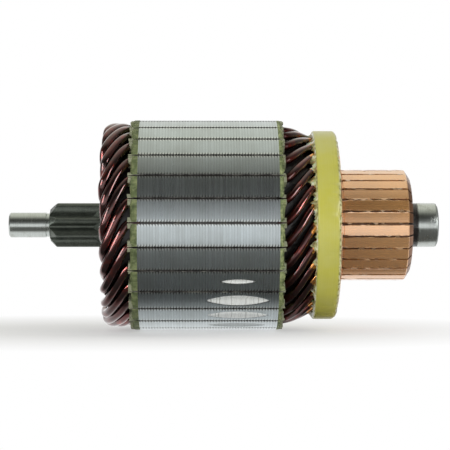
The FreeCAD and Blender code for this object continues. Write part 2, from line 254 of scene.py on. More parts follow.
chamfer = 0.5 * mm
run_out_x = gear_in_x - 3.7 * mm
shaft_outline = [
    (shaft_low.x + centre_depth, 0),
    (shaft_low.x, centre_r),
    (shaft_low.x, pilot_r - chamfer),
    (shaft_low.x + chamfer, pilot_r),
    (gear_out_x - 1.4 * mm, pilot_r),
    (gear_out_x - 1.2 * mm, pilot_groove_r),
    (gear_out_x - 0.2 * mm, pilot_groove_r),
    (gear_out_x, pilot_r),
    (core_low.x, pilot_r),
    (core_low.x, core_seat_r),
    (core_high.x, core_seat_r),
    (core_high.x, commutator_seat_r),
    (bars_high.x, commutator_seat_r),
    (bars_high.x, neck_r),
    (journal_shoulder_x, neck_r),
    (journal_shoulder_x + 0.15 * mm, journal_r),
    (shaft_high.x - 1.0 * mm, journal_r),
    (shaft_high.x - 0.45 * mm, journal_r - 0.25 * mm),
    (shaft_high.x, journal_r - 1.0 * mm),
    (shaft_high.x, centre_r),
    (shaft_high.x - centre_depth, 0),
]
add_piece(turned(shaft_outline), "ground_shaft", ground_steel, ["shaft"])

# Sun gear: eight straight teeth hobbed into the shaft, then hardened and phosphated dark. Their
# outer ends are chamfered on a cone, and the gaps run out at the collar behind them.
gear_teeth = 8
gear_module = 1.5 * mm
gear_shift = 0.55
pressure = math.radians(20)
gear_pitch_r = gear_module * gear_teeth / 2
gear_root_r = gear_pitch_r - 0.7 * gear_module
gear_crest_angle = math.radians(165.1)
gear_end_r = 5.6 * mm
gear_bore_r = pilot_r - 0.3 * mm
collar_r = 9.6 * mm
collar_end_x = core_low.x - 0.01 * mm

worn_edges, given, result = shader_group("worn_edges", ["Reach", "Breakup"], ["Worn"])
tree = worn_edges
rounded = node(tree, "ShaderNodeBevel", {"Radius": given["Reach"]}, samples=6).outputs["Normal"]
flat = node(tree, "ShaderNodeNewGeometry").outputs["Normal"]
agree = node(tree, "ShaderNodeVectorMath", {0: rounded, 1: flat}, operation="DOT_PRODUCT").outputs["Value"]
rough_share = noise_node(tree, given["Place"], given["Breakup"], 4.0)
edge_share = remap(tree, agree, 0.985, 0.86)
tree.links.new(times(tree, edge_share, remap(tree, rough_share, 0.35, 0.6, 0.3, 1.0)), result["Worn"])

phosphated_steel, tree, shader, place = new_finish("phosphated_steel", 0.75, 0.42)
grain = noise_node(tree, place, 2600.0, 4.0)
cloud = stains(tree, place, 300.0, 0.35, 0.7)
worn = use_group(tree, worn_edges, {"Place": place, "Reach": 0.22 * mm, "Breakup": 1500.0})["Worn"]
dark_tone = ramp(tree, grain, [(0.3, (0.055, 0.066, 0.055)), (0.7, (0.13, 0.148, 0.125))])
clouded = mixed(tree, times(tree, cloud, 0.35), dark_tone, (0.20, 0.22, 0.19))
tree.links.new(mixed(tree, times(tree, worn, 0.75), clouded, (0.50, 0.54, 0.48)), shader["Base Color"])
tree.links.new(remap(tree, grain, 0.3, 0.7, 0.28, 0.44), shader["Roughness"])
add_bump(tree, shader, grain, 0.5, 0.02 * mm)


def turn_to(bm, angle):
    """Turns a shape about the shaft."""
    bmesh.ops.rotate(bm, verts=bm.verts[:], cent=(0, 0, 0), matrix=Matrix.Rotation(angle, 3, "X"))
    return bm


def picked(swept, kind):
    """The items of one kind in what a sweep has made."""
    return [item for item in swept["geom"] if isinstance(item, kind)]


def sweep_edges(bm, edges):
    """Sweeps edges into faces, and returns the new corners and edges."""
    swept = bmesh.ops.extrude_edge_only(bm, edges=edges)
    return picked(swept, bmesh.types.BMVert), picked(swept, bmesh.types.BMEdge)


def flank_angle(radius):
    """Half of a gear tooth's angle at a radius on its involute flank."""
    at_pitch = (math.pi / 2 + 2 * gear_shift * math.tan(pressure)) / gear_teeth
    local = math.acos(min(1.0, gear_pitch_r * math.cos(pressure) / radius))
    return at_pitch + (math.tan(pressure) - pressure) - (math.tan(local) - local)


base_r = gear_pitch_r * math.cos(pressure)
flank = [(gear_root_r - 0.6 * mm, flank_angle(base_r)), (gear_root_r, flank_angle(base_r) + 0.06)]
flank += [(base_r + 0.1 * mm, flank_angle(base_r + 0.1 * mm))]
flank_steps = 8
for step in range(1, flank_steps + 1):
    radius = base_r + (gear_tip_r - 0.12 * mm - base_r) * step / flank_steps
    flank.append((radius, flank_angle(radius)))
flank.append((gear_tip_r, flank_angle(gear_tip_r) - 0.012))
tooth_side = flank + [(gear_tip_r, 0.0)] + [(radius, -angle) for radius, angle in reversed(flank)]
bm = bmesh.new()
tooth = bm.faces.new([bm.verts.new((gear_out_x, r * math.cos(a), r * math.sin(a))) for r, a in tooth_side])
swept = bmesh.ops.extrude_face_region(bm, geom=[tooth])
far_end = picked(swept, bmesh.types.BMVert)
bmesh.ops.translate(bm, verts=far_end, vec=(gear_in_x - gear_out_x, 0, 0))
for vert in bm.verts:
    if vert not in far_end:
        vert.co.x += max(0.0, math.hypot(vert.co.y, vert.co.z) - gear_end_r)
turn_to(bm, gear_crest_angle)
bmesh.ops.spin(bm, geom=bm.verts[:] + bm.edges[:] + bm.faces[:], cent=(0, 0, 0), axis=(1, 0, 0),
               angle=math.tau * (gear_teeth - 1) / gear_teeth, steps=gear_teeth - 1, use_duplicate=True)
add_piece(bm, "sun_gear_teeth", phosphated_steel)
root_outline = [(gear_out_x, gear_bore_r), (gear_out_x, gear_root_r), (run_out_x + 0.5 * mm, gear_root_r),
                (gear_in_x, gear_tip_r), (gear_in_x, collar_r - 0.2 * mm), (gear_in_x + 0.2 * mm, collar_r),
                (collar_end_x, collar_r), (collar_end_x, gear_bore_r)]
add_piece(turned(root_outline, closed=True), "sun_gear_root", phosphated_steel)

# Neck: the groove between the commutator and the journal is brushed full of black varnish, which
# keeps copper dust off the shaft.
black_varnish, tree, shader, place = new_finish(
    "black_varnish", 0.0, 0.4, coat=0.6, coat_roughness=0.08, specular=0.3)
lumps = noise_node(tree, place, 1300.0, 4.0)
varnish_tone = ramp(tree, lumps, [(0.3, (0.006, 0.005, 0.005)), (0.75, (0.022, 0.018, 0.016))])
tree.links.new(varnish_tone, shader["Base Color"])
add_bump(tree, shader, lumps, 1.0, 0.22 * mm)
neck_low_x = bars_high.x - 0.2 * mm
neck_high_x = journal_shoulder_x - 0.1 * mm
neck_bore_r = neck_r - 0.4 * mm
neck_outline = [(neck_low_x, neck_bore_r), (neck_low_x, 8.6 * mm), (bars_high.x + 0.5 * mm, 8.35 * mm),
                (bars_high.x + 1.4 * mm, 8.0 * mm), (neck_high_x, 7.95 * mm), (neck_high_x, neck_bore_r)]
bm = turned(neck_outline, closed=True)
for vert in bm.verts:
    if vert.co.yz.length > neck_r:
        vert.co.yz *= 1 + 0.012 * noise.noise(vert.co * 600)
add_piece(bm, "neck_varnish", black_varnish)

# Core: forty-nine punched sheets of electrical steel, pressed on the shaft and turned to size. Each
# sheet's corners are rounded by the punch, and the sheets don't line up exactly at the slots.
sheet_t = 1.0 * mm
sheet_count = 49
core_r = 38.0 * mm
slot_w = 3.7 * mm
slot_opening = 0.74 * mm
slot_lip = 1.1 * mm
shoulder_r = 36.4 * mm
slot_bottom_r = 28.4 * mm
tip_base_r = shoulder_r + 0.2 * mm
sheet_groove = 0.04 * mm
corner_groove = 0.05 * mm
corner_round = 0.015 * mm
sheet_twist = 0.035 * mm
tip_flatness = 0.10 * mm
tip_lean = 0.09 * mm
tip_shares = (0.96, 0.90, 0.78, 0.45)


def slot_side(rim_r):
    """Half of a tooth's outline (radius, angle), from the slot's floor up to the tip's corner."""
    corners = [(slot_bottom_r, 0.0), (slot_bottom_r, slot_w / 2), (shoulder_r, slot_w / 2),
               (rim_r - slot_lip, slot_opening / 2), (rim_r, slot_opening / 2)]
    return [(math.hypot(out, across), pitch / 2 - math.atan2(across, out)) for out, across in corners]


def tooth_skin(side, rim_r, tip_shares, stations, place, bore_r):
    """One tooth swept along the shaft, closed at its ends. place moves each (step, x, radius, angle)."""
    half_tip = [(rim_r, side[-1][1] * share) for share in tip_shares]
    left = side + half_tip
    outline = left + [(rim_r, 0.0)] + [(radius, -angle) for radius, angle in reversed(left)]
    bm = bmesh.new()
    bm.verts.layers.float.new("milled_painted_light")
    for step, x in enumerate(stations):
        moved = [place(step, x, radius, angle) for radius, angle in outline]
        points = [(px, pr * math.cos(pa), pr * math.sin(pa)) for px, pr, pa in moved]
        if step:
            row, edges = sweep_edges(bm, edges)
        else:
            row = [bm.verts.new(point) for point in points]
            edges = [bm.edges.new(pair) for pair in zip(row, row[1:])]
        for vert, point in zip(row, points):
            vert.co = point
        if step in (0, len(stations) - 1):
            bore = [bm.verts.new((points[0][0], bore_r * math.cos(a), bore_r * math.sin(a)))
                    for a in (-pitch / 2, 0, pitch / 2)]
            bm.faces.new(row + bore)
    return bm


def gather(parts):
    """Joins several shapes into one and merges the seams between them."""
    whole = bmesh.new()
    for part in parts:
        scrap = bpy.data.meshes.new("scrap")
        part.to_mesh(scrap)
        part.free()
        whole.from_mesh(scrap)
        bpy.data.meshes.remove(scrap)
    bmesh.ops.remove_doubles(whole, verts=whole.verts[:], dist=0.002 * mm)
    return whole


# Balance cuts: a wheel with a blunt edge has taken a pointed lens out of four neighbouring tips. Each
# has its depth and a painted brightness, lower on the lower cuts, which is painted shade.
balance_cuts = {2: (0.42 * mm, 1.0), 3: (1.05 * mm, 1.0), 4: (1.0 * mm, 0.8), 5: (0.9 * mm, 0.45)}
cut_rim = 0.12 * mm
balance_x = core_high.x - 14.3 * mm
wheel_r = 66.0 * mm
wheel_slope = 1 / math.tan(math.radians(68.5))
wheel_nose = 0.35 * mm

shuffle = random.Random(7)
sheet_shift = [shuffle.uniform(-1, 1) for sheet in range(sheet_count + 1)]
core_side = slot_side(core_r)
core_stations = []
for sheet in range(sheet_count):
    core_stations += [core_low.x + (sheet + share) * sheet_t for share in (0.0, 0.27, 0.73)]
core_stations.append(core_high.x)


def sheet_point(step, x, radius, angle):
    """A point of the core's skin: sunk between sheets, most of all at the tips' corners."""
    sheet = min(step // 3, sheet_count - 1)
    turn = sheet_shift[sheet] * sheet_twist / core_r
    if radius < tip_base_r:
        return x, radius, angle
    spread = min(1.0, abs(angle) / core_side[-1][1])
    corner = spread ** 7
    radius -= tip_flatness * (1 - spread ** 2)
    if step % 3 == 0:
        radius -= sheet_groove + corner_groove * corner
        angle *= 1 - 0.07 * corner
    else:
        radius -= 0.007 * mm * (1 - sheet_shift[sheet]) + corner_round * corner
    return x, radius, angle + turn


plain_tooth = tooth_skin(core_side, core_r, tip_shares, core_stations, sheet_point, core_seat_r)
core_parts = []
for tooth in range(slots):
    if tooth in balance_cuts:
        fine_shares = [1 - step / 17 for step in range(1, 17)]
        part = tooth_skin(core_side, core_r, fine_shares, core_stations, sheet_point, core_seat_r)
        milled_painted_light = part.verts.layers.float["milled_painted_light"]
        cut_depth, painted_brightness = balance_cuts[tooth]
        for vert in part.verts:
            side_rise = wheel_slope * (math.hypot(vert.co.z, wheel_nose) - wheel_nose)
            lens = core_r - cut_depth + (vert.co.x - balance_x) ** 2 / (2 * wheel_r) + side_rise
            if vert.co.y > max(lens, shoulder_r + 0.4 * mm):
                depth = vert.co.y - lens
                vert.co.y = lens
                vert[milled_painted_light] = painted_brightness * min(1.0, 0.3 + depth / cut_rim)
    else:
        part = plain_tooth.copy()
    lean = Matrix.Rotation(shuffle.uniform(-1, 1) * tip_lean / core_r, 3, "X")
    tip = [vert for vert in part.verts if vert.co.yz.length > tip_base_r]
    bmesh.ops.rotate(part, verts=tip, cent=(0, 0, 0), matrix=lean)
    core_parts.append(turn_to(part, first_slot + (tooth + 0.5) * pitch))
plain_tooth.free()
bm = gather(core_parts)

# Sheets' corners at the slots: a dark seam at each joint between two sheets, deepest in the notches beside
# the slots, where it is painted shade, and a painted highlight on each sheet's crest beside the slot.
sheet_seams_and_painted_glints, given, result = shader_group("sheet_seams_and_painted_glints", [], ["Seam", "Painted glint"])
tree = sheet_seams_and_painted_glints
spot = node(tree, "ShaderNodeSeparateXYZ", {"Vector": given["Place"]}).outputs
around = math_node(tree, "SUBTRACT", math_node(tree, "ARCTAN2", spot["Z"], spot["Y"]), first_slot)
from_slot = math_node(tree, "PINGPONG", around, pitch / 2)
near_slot = remap(tree, from_slot, 0.6 * mm / core_r, 1.5 * mm / core_r, 1.0, 0.0)
from_joint = math_node(tree, "PINGPONG", math_node(tree, "DIVIDE", spot["X"], sheet_t), 0.5)
at_joint = remap(tree, from_joint, 0.10, 0.28, 1.0, 0.0)
seam_and_shade_share = math_node(tree, "MAXIMUM", near_slot, 0.14)
tree.links.new(times(tree, seam_and_shade_share, at_joint), result["Seam"])
between = math_node(tree, "SUBTRACT", 1.0, at_joint)
tree.links.new(times(tree, near_slot, between), result["Painted glint"])

core_steel, tree, shader, place = new_finish("core_steel", 1.0, 0.34)
along = station(tree, place)
sheet_number = math_node(tree, "FLOOR", math_node(tree, "DIVIDE", along, sheet_t))
own_tone = node(tree, "ShaderNodeTexWhiteNoise", {"W": sheet_number}, noise_dimensions="1D").outputs["Value"]
marks = tool_marks(tree, place, 3600.0, 2.0)
smear = stains(tree, place, 90.0, 0.4, 0.7)
steel_tone = ramp(tree, marks, [(0.3, (0.53, 0.585, 0.605)), (0.7, (0.61, 0.68, 0.705))])
toned = mixed(tree, remap(tree, own_tone, 0.0, 1.0, 0.0, 0.22), steel_tone, (0.40, 0.43, 0.42))
oiled = mixed(tree, times(tree, smear, 0.25), toned, (0.30, 0.31, 0.27))
# Painted shade in the corner notches and a painted highlight on the crests beside the slots.
seam_and_glint = use_group(tree, sheet_seams_and_painted_glints, {"Place": place})
seamed_and_shaded = mixed(tree, times(tree, seam_and_glint["Seam"], 0.9), oiled, (0.08, 0.085, 0.08))
glint_painted = mixed(tree, times(tree, seam_and_glint["Painted glint"], 0.55), seamed_and_shaded, (0.92, 0.95, 0.92))
# Painted light on the cuts: the dark rim round each cut is painted shade, and the near-white matt face,
# dimmer on the lower cuts, is a painted reflection.
milled_painted_light = node(tree, "ShaderNodeAttribute", attribute_name="milled_painted_light").outputs["Fac"]
painted_cut_rim_shade = ramp(tree, milled_painted_light, [(0.08, (0, 0, 0)), (0.3, (0.8, 0.8, 0.8)), (0.62, (0, 0, 0))])
with_painted_rim_shade = mixed(tree, painted_cut_rim_shade, glint_painted, (0.06, 0.065, 0.06))
painted_cut_share = remap(tree, milled_painted_light, 0.4, 0.75)
milled_marks = tool_marks(tree, place, 1500.0, 4.0)
painted_cut_reflection = ramp(tree, milled_marks, [(0.32, (0.62, 0.63, 0.61)), (0.5, (0.98, 1.0, 0.98))])
tree.links.new(mixed(tree, painted_cut_share, with_painted_rim_shade, painted_cut_reflection), shader["Base Color"])
matt_cut = remap(tree, milled_painted_light, 0.82, 1.0, 0.0, 0.85)
tree.links.new(math_node(tree, "SUBTRACT", 1.0, matt_cut), shader["Metallic"])
turned_roughness = math_node(tree, "ADD", remap(tree, marks, 0.3, 0.7, 0.24, 0.28),
                             times(tree, own_tone, 0.04))
tree.links.new(math_node(tree, "ADD", turned_roughness, times(tree, painted_cut_share, 0.18)), shader["Roughness"])
add_bump(tree, shader, marks, 0.12, 0.02 * mm)
add_piece(bm, "laminated_core", core_steel, ["lamination_stack"], crease=40)

# Fibre end discs: vulcanised fibre against each end of the core, punched like the sheets. The
# punch leaves their rims and outer faces torn and fluffy.
drive_disc_low, drive_disc_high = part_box("end_insulator_drive_end")
commutator_disc_low, commutator_disc_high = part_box("end_insulator_commutator_end")


def fibre_disc(low, high, rim_r, bore_r, outward, worn_back, seed):
    """Fibre disc whose outer face and rim are torn unevenly on each tooth."""
    side = slot_side(rim_r)
    thickness = high.x - low.x
    stations = [low.x, low.x + 0.25 * thickness, low.x + 0.6 * thickness, high.x]
    parts = []
    for tooth in range(slots):
        angle_to = first_slot + (tooth + 0.5) * pitch

        def torn(step, x, radius, angle):
            if radius < tip_base_r:
                return x, radius, angle
            turn = angle + angle_to
            spot = Vector((x * 900, math.cos(turn) * 32, math.sin(turn) * 32 + seed))
            coarse = noise.noise(spot)
            fine = noise.noise(spot * 3.1)
            outer = (step == 0) if outward < 0 else (step == len(stations) - 1)
            if outer:
                uneven = 1.1 * coarse + 1.0 * fine + 0.35 * noise.noise(Vector((tooth * 1.7, seed, 0)))
                x += outward * (uneven - worn_back) * mm
                radius -= (0.15 + 0.4 * abs(fine)) * mm
            radius -= (0.12 * abs(coarse) + 0.10 * abs(fine)) * mm
            return x, radius, angle

        shares = [1 - step / 12 for step in range(1, 12)]
        parts.append(turn_to(tooth_skin(side, rim_r, shares, stations, torn, bore_r), angle_to))
    return gather(parts)


green_fibre, tree, shader, place = new_finish("green_fibre", 0.0, 0.62, specular=0.35)
mottle = noise_node(tree, place, 420.0, 6.0, 0.65)
stretch = node(tree, "ShaderNodeMapping", {"Vector": place, "Scale": (600.0, 1500.0, 1500.0)}).outputs[0]
streaks = noise_node(tree, stretch, 1.0, 5.0)
green_tone = ramp(tree, mottle, [(0.3, (0.05, 0.07, 0.025)), (0.48, (0.165, 0.21, 0.085)),
                                 (0.68, (0.43, 0.48, 0.22))])
pale_share = remap(tree, streaks, 0.52, 0.72, 0.0, 0.7)
fluffy = mixed(tree, pale_share, green_tone, (0.48, 0.50, 0.27))
along = station(tree, place)
darker_end = remap(tree, along, drive_disc_high.x, commutator_disc_low.x, 0.46, 0.0)
tree.links.new(mixed(tree, darker_end, fluffy, (0.06, 0.075, 0.03)), shader["Base Color"])
add_bump(tree, shader, streaks, 0.6, 0.15 * mm)
bm = fibre_disc(drive_disc_low, drive_disc_high, 37.95 * mm, 9.9 * mm, -1, 0.6, 3.0)
add_piece(bm, "fibre_disc_drive_end", green_fibre, ["end_insulator_drive_end"])
bm = fibre_disc(commutator_disc_low, commutator_disc_high, 37.9 * mm, 8.8 * mm, 1, 0.45, 11.0)
add_piece(bm, "fibre_disc_commutator_end", green_fibre, ["end_insulator_commutator_end"])

# Slot liners: each slot is lined with a folded strip of press paper, soaked dark by the varnish. Its
# two edges stand in the slot's mouth, where hardened varnish covers the wires, and its ends stand
# out past the fibre discs.
liner_t = 0.18 * mm
liner_low_x = drive_disc_low.x - 0.9 * mm
liner_high_x = commutator_disc_high.x + 0.8 * mm
liner_inset = 0.12 * mm
liner_steps = 30
lined_half = slot_w / 2 - liner_inset
edge_half = slot_opening / 2 - 0.11 * mm
liner_fold = [(core_r - 0.25 * mm, edge_half), (core_r - slot_lip, edge_half),
              (shoulder_r - 0.25 * mm, lined_half), (slot_bottom_r + liner_inset, lined_half)]


def paper_liner(seed):
    """One folded liner at angle zero, its ends cut a little unevenly."""
    fold = liner_fold + [(out, -across) for out, across in reversed(liner_fold)]
    bm = bmesh.new()
    row = [bm.verts.new((liner_low_x, out, across)) for out, across in fold]
    edges = [bm.edges.new(pair) for pair in zip(row, row[1:])]
    ends = [row]
    for step in range(1, liner_steps + 1):
        row, edges = sweep_edges(bm, edges)
        for vert, (out, across) in zip(row, fold):
            vert.co = (liner_low_x + (liner_high_x - liner_low_x) * step / liner_steps, out, across)
            if out > shoulder_r:
                spot = Vector((vert.co.x * 330, seed * 4.1, math.copysign(1.0, across) * 2.7))
                vert.co.y += 0.30 * mm * min(0.2, noise.noise(spot))
                vert.co.z += 0.10 * mm * noise.noise(spot + Vector((0, 9.1, 0)))
        ends.append(row)
    for row, outward in ((ends[0], -1), (ends[-1], 1)):
        for count, vert in enumerate(row):
            wave = noise.noise(Vector((seed * 3.7, count * 1.9, outward * 5.0)))
            vert.co.x += outward * wave * 0.5 * mm
            vert.co.z *= 1 + 0.5 * max(0.0, wave) if vert.co.y > shoulder_r else 1.0
    bmesh.ops.solidify(bm, geom=bm.faces[:], thickness=liner_t)
    return bm


press_paper, tree, shader, place = new_finish("press_paper", 0.0, 0.5, specular=0.4)
fibres = noise_node(tree, place, 380.0, 6.0, 0.7)
darkened_tone = ramp(tree, fibres, [(0.36, (0.032, 0.028, 0.028)), (0.52, (0.11, 0.105, 0.10)),
                             (0.68, (0.34, 0.34, 0.29))])
along = station(tree, place)
liner_half = (liner_high_x - liner_low_x) / 2
from_middle = math_node(tree, "ABSOLUTE", math_node(tree, "SUBTRACT", along, liner_low_x + liner_half))
dry_end = remap(tree, from_middle, liner_half - 2.4 * mm, liner_half - 1.0 * mm, 0.0, 0.8)
tree.links.new(mixed(tree, dry_end, darkened_tone, (0.44, 0.46, 0.31)), shader["Base Color"])
add_bump(tree, shader, fibres, 0.6, 0.08 * mm)


def varnish_fill():
    """Hardened varnish over the wires in the mouth of the slot at angle zero."""
    mouth = [(shoulder_r - 1.6 * mm, 1.6 * mm), (shoulder_r - 0.1 * mm, 1.6 * mm),
             (core_r - slot_lip, slot_opening / 2), (core_r - 0.6 * mm, slot_opening / 2)]
    bm = bmesh.new()
    outline = mouth + [(out, -across) for out, across in reversed(mouth)]
    end = bm.faces.new([bm.verts.new((core_low.x + 1.0 * mm, out, across)) for out, across in outline])
    swept = bmesh.ops.extrude_face_region(bm, geom=[end])
    far_end = picked(swept, bmesh.types.BMVert)
    bmesh.ops.translate(bm, verts=far_end, vec=(core_high.x - core_low.x - 2.0 * mm, 0, 0))
    return bm


fills = [turn_to(varnish_fill(), first_slot + slot * pitch) for slot in range(slots)]
add_piece(gather(fills), "slot_varnish", black_varnish)
liners = [turn_to(paper_liner(slot), first_slot + slot * pitch) for slot in range(slots)]
add_piece(gather(liners), "paper_slot_liners", press_paper, ["slot_liners"])

# Winding: hairpins of 3 mm enamelled wire, pushed through the slots in two layers and bent over
# at both ends. Each end turn leans one way in the outer layer and the other way in the inner.
wire_r = 1.5 * mm
coil_span = 5
outer_lean = 2.5
inner_lean = 1.5
outer_r = core_r - 3.6 * mm
inner_r = outer_r - 4.0 * mm
nose_top_r = outer_r + 0.6 * mm
riser_outer_r = bars_high.z - wire_r
riser_inner_r = riser_outer_r - 3.4 * mm
nose_x = drive_disc_low.x - 11.3 * mm + wire_r
exit_low_x = drive_disc_low.x - 0.5 * mm
exit_high_x = commutator_disc_high.x + 0.5 * mm
riser_tip_x = bars_low.x + 5.2 * mm


def hairpin_route(shake):
    """Corners (x, radius, pitches) of a hairpin from its outer riser to its inner one."""
    bend = bars_low.x - 0.9 * mm
    crown = nose_x + 0.3 * mm * (1 + shake[5])
    sway = 0.02 * shake[4]
    return [
        (riser_tip_x, riser_outer_r, -outer_lean),
        (bars_low.x + 1.0 * mm, riser_outer_r, -outer_lean),
        (bend, riser_outer_r + 0.05 * mm, -outer_lean + 0.02),
        (bend - 5.0 * mm, riser_outer_r + 1.75 * mm, -1.60 + 0.03 * shake[0]),
        (exit_high_x + 4.9 * mm, outer_r - 0.9 * mm, -0.72 + 0.03 * shake[1]),
        (exit_high_x + 0.6 * mm, outer_r + 0.05 * mm, 0.0),
        (exit_high_x - 2.5 * mm, outer_r, 0.0),
        (exit_low_x + 2.5 * mm, outer_r, 0.0),
        (exit_low_x - 0.6 * mm, outer_r + 0.2 * mm, 0.0),
        (exit_low_x - 3.3 * mm, outer_r + 1.25 * mm, 0.60 + 0.03 * shake[2]),
        (exit_low_x - 6.4 * mm, outer_r + 1.2 * mm, 1.40 + 0.03 * shake[3]),
        (nose_x + 1.1 * mm, nose_top_r + 0.1 * mm, 1.98 + sway),
        (crown, nose_top_r - 0.9 * mm, 2.28 + sway),
        (crown, inner_r + 0.9 * mm, 2.70 + sway),
        (nose_x + 1.1 * mm, inner_r, 3.0 + sway),
        (exit_low_x - 5.0 * mm, inner_r, 3.9),
        (exit_low_x - 0.6 * mm, inner_r, coil_span),
        (exit_low_x + 2.5 * mm, inner_r, coil_span),
        (exit_high_x - 2.5 * mm, inner_r, coil_span),
        (exit_high_x + 0.6 * mm, inner_r, coil_span),
        (exit_high_x + 7.0 * mm, (inner_r + riser_inner_r) / 2, coil_span + 0.75),
        (bend, riser_inner_r, coil_span + inner_lean),
        (riser_tip_x, riser_inner_r, coil_span + inner_lean),
    ]


def smooth_line(route, steps):
    """Points along a smooth line that touches the middle of each run between the corners."""
    corners = [Vector((x, radius * math.cos(turn * pitch), radius * math.sin(turn * pitch)))
               for x, radius, turn in route]
    middles = [(a + b) / 2 for a, b in zip(corners, corners[1:])]
    points = [corners[0]]
    for start, corner, end in zip(middles, corners[1:], middles[1:]):
        handles = (start.lerp(corner, 2 / 3), end.lerp(corner, 2 / 3))
        points += geometry.interpolate_bezier(start, handles[0], handles[1], end, steps)[:-1]
    return points + [middles[-1], corners[-1]]


def drawn_wire(points, radius, sides):
    """Round wire along a line of points, with the distance from its start kept on each point."""
    bm = bmesh.new()
    run = bm.verts.layers.float.new("run")
    heading = (points[1] - points[0]).normalized()
    facing = heading.to_track_quat("Z", "X")
    start = Matrix.Translation(points[0]) @ facing.to_matrix().to_4x4()
    ring = bmesh.ops.create_circle(bm, cap_ends=True, radius=radius, segments=sides, matrix=start)["verts"]
    edges = list({edge for vert in ring for edge in vert.link_edges})
    travelled = 0.0
    for index in range(1, len(points)):
        ring, edges = sweep_edges(bm, edges)
        after = points[min(index + 1, len(points) - 1)] - points[index - 1]
        turn = heading.rotation_difference(after.normalized())
        heading = after.normalized()
        travelled += (points[index] - points[index - 1]).length
        here = Matrix.Translation(points[index]) @ turn.to_matrix().to_4x4()
        bmesh.ops.transform(bm, verts=ring, matrix=here @ Matrix.Translation(-points[index - 1]))
        for vert in ring:
            vert[run] = travelled
    bmesh.ops.contextual_create(bm, geom=edges)
    return bm


enamelled_wire, tree, shader, place = new_finish("enamelled_wire", 1.0, 0.2, coat=1.0, coat_roughness=0.03)
shader["Coat IOR"].default_value = 1.68
run = node(tree, "ShaderNodeAttribute", attribute_name="run").outputs["Fac"]
lumps = noise_node(tree, place, 260.0, 5.0, 0.6)
fine = noise_node(tree, place, 1800.0, 3.0)
enamel_tone = ramp(tree, lumps, [(0.30, (0.045, 0.008, 0.006)), (0.55, (0.115, 0.012, 0.008)),
                                 (0.75, (0.38, 0.034, 0.016))])
pooled = stains(tree, place, 150.0, 0.46, 0.62)
dressed = mixed(tree, times(tree, pooled, 0.75), enamel_tone, (0.030, 0.010, 0.008))
frayed = math_node(tree, "ADD", run, remap(tree, lumps, 0.3, 0.7, -3.2 * mm, 3.2 * mm))
bare_end = remap(tree, frayed, 12.3 * mm, 12.9 * mm, 1.0, 0.0)
along = station(tree, place)
# Beside the commutator end's disc the wires are painted darker, painted shade where the core's rim shades
# them, and are rougher and without coat.
past_disc = remap(tree, along, exit_high_x - 4.0 * mm, exit_high_x)
fading_out = remap(tree, along, exit_high_x + 1.0 * mm, exit_high_x + 5.0 * mm, 0.9, 0.0)
beside_disc = times(tree, past_disc, fading_out)
darkened_tone = mixed(tree, beside_disc, dressed, (0.030, 0.006, 0.005))
tree.links.new(mixed(tree, bare_end, darkened_tone, (0.95, 0.43, 0.14)), shader["Base Color"])
wire_polish = remap(tree, lumps, 0.3, 0.7, 0.12, 0.20)
tree.links.new(math_node(tree, "ADD", wire_polish, times(tree, beside_disc, 0.35)), shader["Roughness"])
dull = math_node(tree, "MAXIMUM", bare_end, beside_disc)
tree.links.new(math_node(tree, "SUBTRACT", 1.0, dull), shader["Coat Weight"])
add_bump(tree, shader, lumps, 0.12, 0.25 * mm)
add_bump(tree, shader, fine, 0.15, 0.02 * mm)
for number in range(slots):
    shake = [shuffle.uniform(-1, 1) for joint in range(6)]
    bm = drawn_wire(smooth_line(hairpin_route(shake), 7), wire_r, 14)
    turn_to(bm, first_slot + number * pitch)
    name = f"hairpin_{number + 1:02d}"
    add_piece(bm, f"enamelled_{name}", enamelled_wire, [name], crease=60)

# Cuffs: a paper cuff parts the two layers of the winding at each end, soaked black with varnish. The
# same varnish fills the space under the outer layer's end turns.


def dress_node(name, material):
    """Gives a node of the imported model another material."""
    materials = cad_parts[name].data.materials
    materials.clear()
    materials.append(material)


dress_node("layer_cuff_drive_end", black_varnish)
dress_node("layer_cuff_commutator_end", black_varnish)

bed_low_x = nose_x + 0.8 * mm
beds = {
    "commutator": [(commutator_disc_high.x, 32.8 * mm), (bars_low.x - 3.0 * mm, 29.4 * mm),
                   (bars_low.x, 28.6 * mm), (bars_low.x, 27.6 * mm), (commutator_disc_high.x, 31.0 * mm)],
    "drive": [(drive_disc_low.x, 33.3 * mm), (bed_low_x + 2.0 * mm, 33.4 * mm), (bed_low_x, 33.0 * mm),
              (bed_low_x, 31.6 * mm), (drive_disc_low.x, 31.4 * mm)],
}
for end, bed in beds.items():
    add_piece(turned(bed, closed=True, steps=96), f"varnish_{end}_end", black_varnish)

# Commutator: hard-drawn copper bars with mica between them, held by their claws in a phenolic
# moulding. The track is turned after assembly, which drags burrs over the undercut gaps.
track_r = 20.0 * mm
bar_gap = 0.6 * mm
bar_depth = 3.2 * mm
riser_r = 31.0 * mm
riser_out_x = bars_low.x + 5.3 * mm
bevel_l = 1.9 * mm
bevel_h = 2.7 * mm
track_end_x = bars_high.x - bevel_l
track_groove_r = track_r - 0.25 * mm
track_steps = 56
bar_base_r = track_r - bar_depth
bar_flatness = 0.05 * mm


